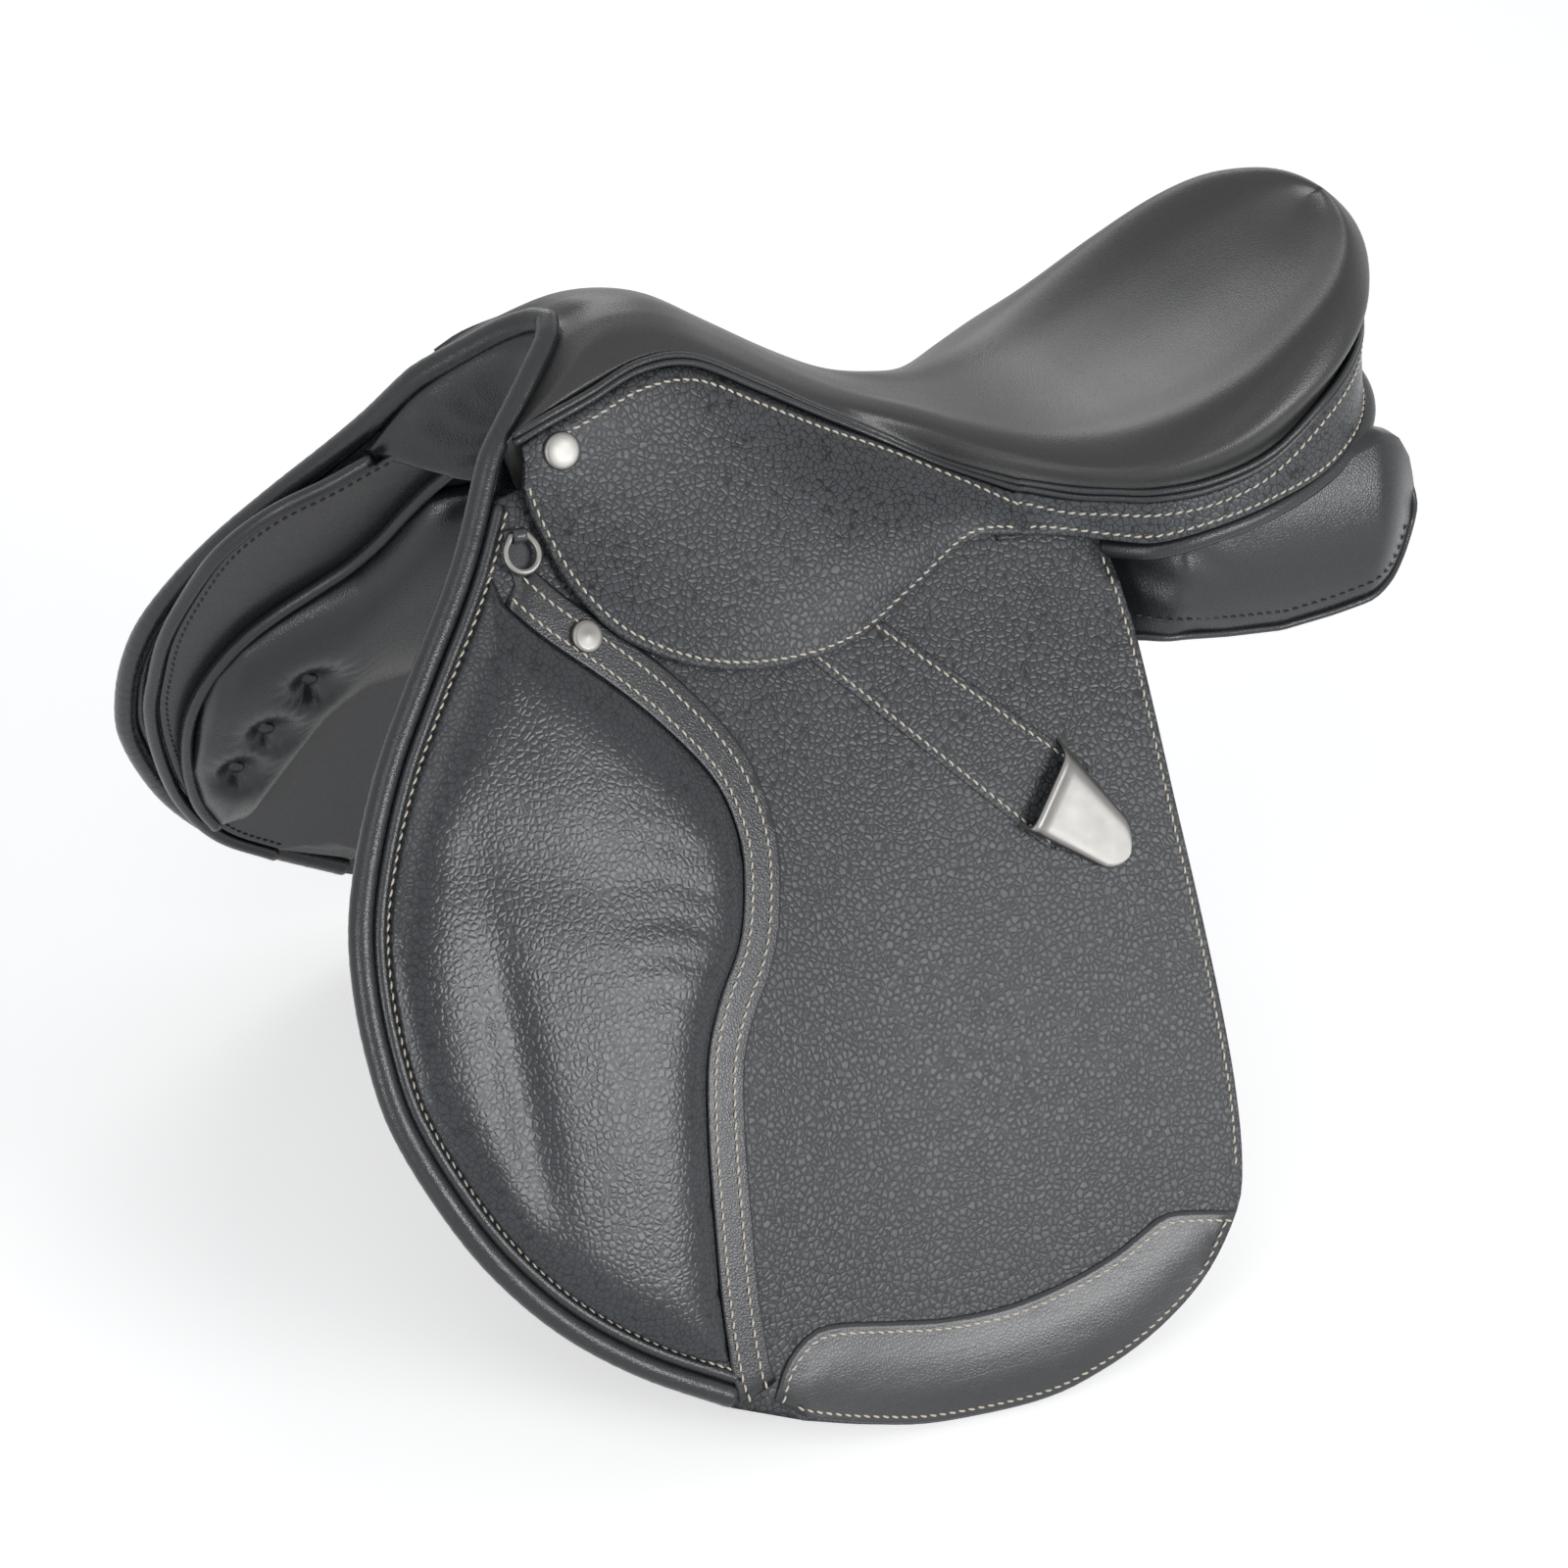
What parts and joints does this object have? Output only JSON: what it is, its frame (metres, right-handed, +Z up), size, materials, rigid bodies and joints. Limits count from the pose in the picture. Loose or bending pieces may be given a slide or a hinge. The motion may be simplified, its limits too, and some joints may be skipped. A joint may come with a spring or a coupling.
{
  "type": "pony saddle",
  "caption": "English jumping saddle for a pony: tree, dished seat, padded panels, lifting skirts and flaps with knee pads, swinging girth straps, stirrup bars, keepers and dee rings.",
  "frame": {"origin": "on the middle plane in the channel over the animal's spine, 300 mm above the level of the flaps' hems and below the seat's waist", "axes": "+X towards the rear, -Y towards the near (left) side, +Z up"},
  "size_m": [0.5637, 0.5062, 0.4603],
  "materials": {
    "seat_leather": "smooth black seat leather with a satin sheen",
    "grain_leather": "pebbled black leather",
    "soft_leather": "soft fine-grained black leather",
    "strap_leather": "smooth black strap leather",
    "panel_leather": "soft black leather over flocking",
    "steel": "satin nickel-plated metal",
    "tree_polymer": "moulded black polymer",
    "foam": "open foam",
    "webbing": "woven webbing"
  },
  "bodies": {
    "saddle": {"seat_cover": "seat_leather", "seat_foam": "foam", "tree": "tree_polymer", "gullet_plate": "steel", "gullet_facing": "soft_leather", "pommel_roll": "soft_leather", "seat_welt": "soft_leather", "cantle_band": "grain_leather", "near_skirt_top": "grain_leather", "near_skirt_nail": "steel", "near_sweat_flap": "strap_leather", "near_sweat_flap_roll": "soft_leather", "near_panel": "panel_leather", "near_panel_welt": "soft_leather", "near_panel_button_1": "soft_leather", "near_panel_button_2": "soft_leather", "near_panel_button_3": "soft_leather", "near_girth_web": "webbing", "near_gullet_screw": "steel", "near_stirrup_bar": "steel", "off_skirt_top": "grain_leather", "off_skirt_nail": "steel", "off_sweat_flap": "strap_leather", "off_sweat_flap_roll": "soft_leather", "off_panel": "panel_leather", "off_panel_welt": "soft_leather", "off_panel_button_1": "soft_leather", "off_panel_button_2": "soft_leather", "off_panel_button_3": "soft_leather", "off_girth_web": "webbing", "off_gullet_screw": "steel", "off_stirrup_bar": "steel"},
    "near_flap": {"near_flap": "grain_leather", "near_flap_roll": "soft_leather", "near_knee_pad": "soft_leather", "near_seam_band": "grain_leather", "near_wear_patch": "strap_leather", "near_flap_stud": "steel", "near_keeper": "steel", "near_dee_tab": "strap_leather"},
    "near_skirt": {"near_skirt": "grain_leather"},
    "near_dee": {"near_dee_ring": "steel"},
    "near_catch": {"near_bar_catch": "steel"},
    "near_billet_1": {"near_billet_1": "strap_leather"},
    "near_billet_2": {"near_billet_2": "strap_leather"},
    "near_billet_3": {"near_billet_3": "strap_leather"},
    "off_flap": {"off_flap": "grain_leather", "off_flap_roll": "soft_leather", "off_knee_pad": "soft_leather", "off_seam_band": "grain_leather", "off_wear_patch": "strap_leather", "off_flap_stud": "steel", "off_keeper": "steel", "off_dee_tab": "strap_leather"},
    "off_skirt": {"off_skirt": "grain_leather"},
    "off_dee": {"off_dee_ring": "steel"},
    "off_catch": {"off_bar_catch": "steel"},
    "off_billet_1": {"off_billet_1": "strap_leather"},
    "off_billet_2": {"off_billet_2": "strap_leather"},
    "off_billet_3": {"off_billet_3": "strap_leather"}
  },
  "joints": [
    {"name": "near_flap_lift", "type": "hinge", "parent": "saddle", "child": "near_flap", "pos_m": [-0.063, -0.0585, 0.064], "axis": [-0.9773, 0.0283, 0.21], "range_deg": [0, 75]},
    {"name": "near_skirt_lift", "type": "hinge", "parent": "near_flap", "child": "near_skirt", "pos_m": [-0.063, -0.0585, 0.064], "axis": [-0.9773, 0.0283, 0.21], "range_deg": [0, 55]},
    {"name": "near_dee_swing", "type": "hinge", "parent": "near_flap", "child": "near_dee", "pos_m": [-0.19, -0.06743, 0.06848], "axis": [-1, 0, 0], "range_deg": [0, 75]},
    {"name": "near_catch_close", "type": "hinge", "parent": "saddle", "child": "near_catch", "pos_m": [-0.0372, -0.05682, 0.04293], "axis": [0, 0, 1], "range_deg": [0, 35]},
    {"name": "near_billet_1_swing", "type": "hinge", "parent": "saddle", "child": "near_billet_1", "pos_m": [-0.06, -0.06315, 0.01], "axis": [0, -0.8508, 0.5256], "range_deg": [-4, 4]},
    {"name": "near_billet_2_swing", "type": "hinge", "parent": "saddle", "child": "near_billet_2", "pos_m": [-0.028, -0.06699, 0.01], "axis": [0, -0.8508, 0.5256], "range_deg": [-4, 4]},
    {"name": "near_billet_3_swing", "type": "hinge", "parent": "saddle", "child": "near_billet_3", "pos_m": [0.004, -0.06109, 0.01], "axis": [0, -0.8508, 0.5256], "range_deg": [-4, 4]},
    {"name": "off_flap_lift", "type": "hinge", "parent": "saddle", "child": "off_flap", "pos_m": [-0.063, 0.0585, 0.064], "axis": [0.9773, 0.0283, -0.21], "range_deg": [0, 75]},
    {"name": "off_skirt_lift", "type": "hinge", "parent": "off_flap", "child": "off_skirt", "pos_m": [-0.063, 0.0585, 0.064], "axis": [0.9773, 0.0283, -0.21], "range_deg": [0, 55]},
    {"name": "off_dee_swing", "type": "hinge", "parent": "off_flap", "child": "off_dee", "pos_m": [-0.19, 0.06743, 0.06848], "axis": [1, 0, 0], "range_deg": [0, 75]},
    {"name": "off_catch_close", "type": "hinge", "parent": "saddle", "child": "off_catch", "pos_m": [-0.0372, 0.05682, 0.04293], "axis": [0, 0, -1], "range_deg": [0, 35]},
    {"name": "off_billet_1_swing", "type": "hinge", "parent": "saddle", "child": "off_billet_1", "pos_m": [-0.06, 0.06315, 0.01], "axis": [0, 0.8508, 0.5256], "range_deg": [-4, 4]},
    {"name": "off_billet_2_swing", "type": "hinge", "parent": "saddle", "child": "off_billet_2", "pos_m": [-0.028, 0.06699, 0.01], "axis": [0, 0.8508, 0.5256], "range_deg": [-4, 4]},
    {"name": "off_billet_3_swing", "type": "hinge", "parent": "saddle", "child": "off_billet_3", "pos_m": [0.004, 0.06109, 0.01], "axis": [0, 0.8508, 0.5256], "range_deg": [-4, 4]}
  ]
}
